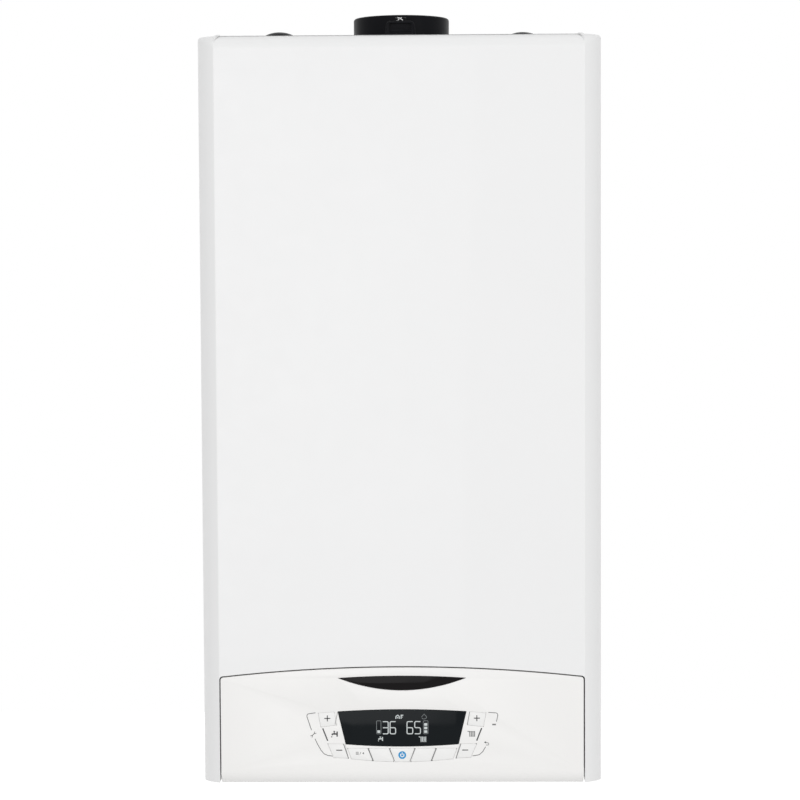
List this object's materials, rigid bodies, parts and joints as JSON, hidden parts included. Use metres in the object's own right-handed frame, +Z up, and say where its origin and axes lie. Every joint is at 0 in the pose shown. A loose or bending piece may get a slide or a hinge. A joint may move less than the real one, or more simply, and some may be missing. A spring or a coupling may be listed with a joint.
{
  "type": "combi boiler",
  "caption": "White wall-hung gas combi boiler with a lift-off steel cover, a tilting control panel with keys and display, and a coaxial flue collar on its roof.",
  "frame": {"origin": "on the back face, midway between the hanging slots, at the height of their upper edge", "axes": "+X to the right as seen from the front, -Y out of the wall to the front, +Z up"},
  "size_m": [0.4, 0.319, 0.7976],
  "materials": {
    "white_steel": "smooth white powder coat, satin",
    "white_plastic": "satin white moulded plastic",
    "key_plastic": "satin white, soft touch",
    "black_gloss": "polished black",
    "display_glass": "polished dark window",
    "black_plastic": "fine-grained black",
    "galvanised_steel": "zinc-coated sheet",
    "stainless_steel": "drawn stainless steel",
    "cast_aluminium": "as cast",
    "brass": "turned",
    "copper": "drawn copper tube",
    "grey_plastic": "moulded grey",
    "red_paint": "red enamel",
    "red_plastic": "moulded red",
    "rubber": "black rubber",
    "circuit_board": "green solder mask"
  },
  "bodies": {
    "boiler": {"back_panel": "galvanised_steel", "side_panel_left": "white_steel", "side_panel_right": "white_steel", "roof_panel": "white_steel", "base_plate": "galvanised_steel", "panel_hinge_left": "galvanised_steel", "panel_hinge_right": "galvanised_steel", "flue_collar": "black_plastic", "flue_inner_socket": "black_plastic", "flue_seal": "rubber", "flue_duct": "white_plastic", "heat_exchanger_shell": "cast_aluminium", "heat_exchanger_coil": "stainless_steel", "burner_door": "cast_aluminium", "fan_housing": "cast_aluminium", "gas_mixer": "cast_aluminium", "gas_valve": "cast_aluminium", "gas_pipe": "copper", "expansion_vessel": "red_paint", "pump_housing": "cast_aluminium", "pump_motor": "black_plastic", "flow_manifold": "grey_plastic", "return_manifold": "grey_plastic", "plate_heat_exchanger": "stainless_steel", "diverter_motor": "black_plastic", "relief_valve": "brass", "filling_valve": "brass", "flow_pipe": "copper", "return_pipe": "copper", "hot_water_pipe": "copper", "cold_water_pipe": "copper", "hx_flow_pipe": "copper", "hx_return_pipe": "copper", "condensate_trap": "white_plastic", "condensate_hose": "grey_plastic"},
    "cover": {"front_cover": "white_steel", "cover_screw_left": "galvanised_steel", "cover_screw_right": "galvanised_steel"},
    "control_panel": {"fascia": "white_plastic", "badge_insert": "black_gloss", "display_lens": "display_glass", "display_module": "display_glass", "control_board": "circuit_board", "control_box": "grey_plastic"},
    "key_dhw_up": {"key_dhw_up": "key_plastic"},
    "key_dhw_down": {"key_dhw_down": "key_plastic"},
    "key_menu": {"key_menu": "key_plastic"},
    "key_comfort": {"key_comfort": "key_plastic"},
    "key_power": {"key_power": "key_plastic"},
    "key_auto": {"key_auto": "key_plastic"},
    "key_reset": {"key_reset": "key_plastic"},
    "key_heat_up": {"key_heat_up": "key_plastic"},
    "key_heat_down": {"key_heat_down": "key_plastic"},
    "fan_rotor": {"fan_impeller": "grey_plastic"},
    "pump_rotor": {"pump_impeller": "grey_plastic"},
    "plug_left": {"plug_left": "black_plastic"},
    "plug_right": {"plug_right": "black_plastic"},
    "sampling_cap": {"sampling_cap": "black_plastic"},
    "relief_knob": {"relief_knob": "red_plastic"},
    "filling_knob": {"filling_knob": "black_plastic"}
  },
  "joints": [
    {"name": "cover_off", "type": "slide", "parent": "boiler", "child": "cover", "axis": [0, -1, 0], "range_m": [0, 0.35]},
    {"name": "panel_tilt", "type": "hinge", "parent": "boiler", "child": "control_panel", "pos_m": [0, -0.262, -0.686], "axis": [1, 0, 0], "range_deg": [0, 90]},
    {"name": "dhw_up_press", "type": "slide", "parent": "control_panel", "child": "key_dhw_up", "axis": [0, 1, 0], "range_m": [0, 0.0008], "stiffness_N_per_m": 1200},
    {"name": "dhw_down_press", "type": "slide", "parent": "control_panel", "child": "key_dhw_down", "axis": [0, 1, 0], "range_m": [0, 0.0008], "stiffness_N_per_m": 1200},
    {"name": "menu_press", "type": "slide", "parent": "control_panel", "child": "key_menu", "axis": [0, 1, 0], "range_m": [0, 0.0008], "stiffness_N_per_m": 1200},
    {"name": "comfort_press", "type": "slide", "parent": "control_panel", "child": "key_comfort", "axis": [0, 1, 0], "range_m": [0, 0.0008], "stiffness_N_per_m": 1200},
    {"name": "power_press", "type": "slide", "parent": "control_panel", "child": "key_power", "axis": [0, 1, 0], "range_m": [0, 0.0008], "stiffness_N_per_m": 1200},
    {"name": "auto_press", "type": "slide", "parent": "control_panel", "child": "key_auto", "axis": [0, 1, 0], "range_m": [0, 0.0008], "stiffness_N_per_m": 1200},
    {"name": "reset_press", "type": "slide", "parent": "control_panel", "child": "key_reset", "axis": [0, 1, 0], "range_m": [0, 0.0008], "stiffness_N_per_m": 1200},
    {"name": "heat_up_press", "type": "slide", "parent": "control_panel", "child": "key_heat_up", "axis": [0, 1, 0], "range_m": [0, 0.0008], "stiffness_N_per_m": 1200},
    {"name": "heat_down_press", "type": "slide", "parent": "control_panel", "child": "key_heat_down", "axis": [0, 1, 0], "range_m": [0, 0.0008], "stiffness_N_per_m": 1200},
    {"name": "fan_spin", "type": "hinge", "parent": "boiler", "child": "fan_rotor", "pos_m": [0.118, -0.2345, -0.14], "axis": [0, 1, 0], "continuous": true},
    {"name": "pump_spin", "type": "hinge", "parent": "boiler", "child": "pump_rotor", "pos_m": [0.134, -0.125, -0.525], "axis": [0, 1, 0], "continuous": true},
    {"name": "plug_left_lift", "type": "slide", "parent": "boiler", "child": "plug_left", "axis": [0, 0, 1], "range_m": [0, 0.04]},
    {"name": "plug_right_lift", "type": "slide", "parent": "boiler", "child": "plug_right", "axis": [0, 0, 1], "range_m": [0, 0.04]},
    {"name": "sampling_cap_lift", "type": "slide", "parent": "boiler", "child": "sampling_cap", "axis": [0, 0, 1], "range_m": [0, 0.03]},
    {"name": "relief_turn", "type": "hinge", "parent": "boiler", "child": "relief_knob", "pos_m": [-0.118, -0.193, -0.6075], "axis": [0, -1, 0], "range_deg": [0, 90]},
    {"name": "filling_turn", "type": "hinge", "parent": "boiler", "child": "filling_knob", "pos_m": [0.099, -0.152, -0.665], "axis": [0, -1, 0], "range_deg": [0, 180]}
  ]
}
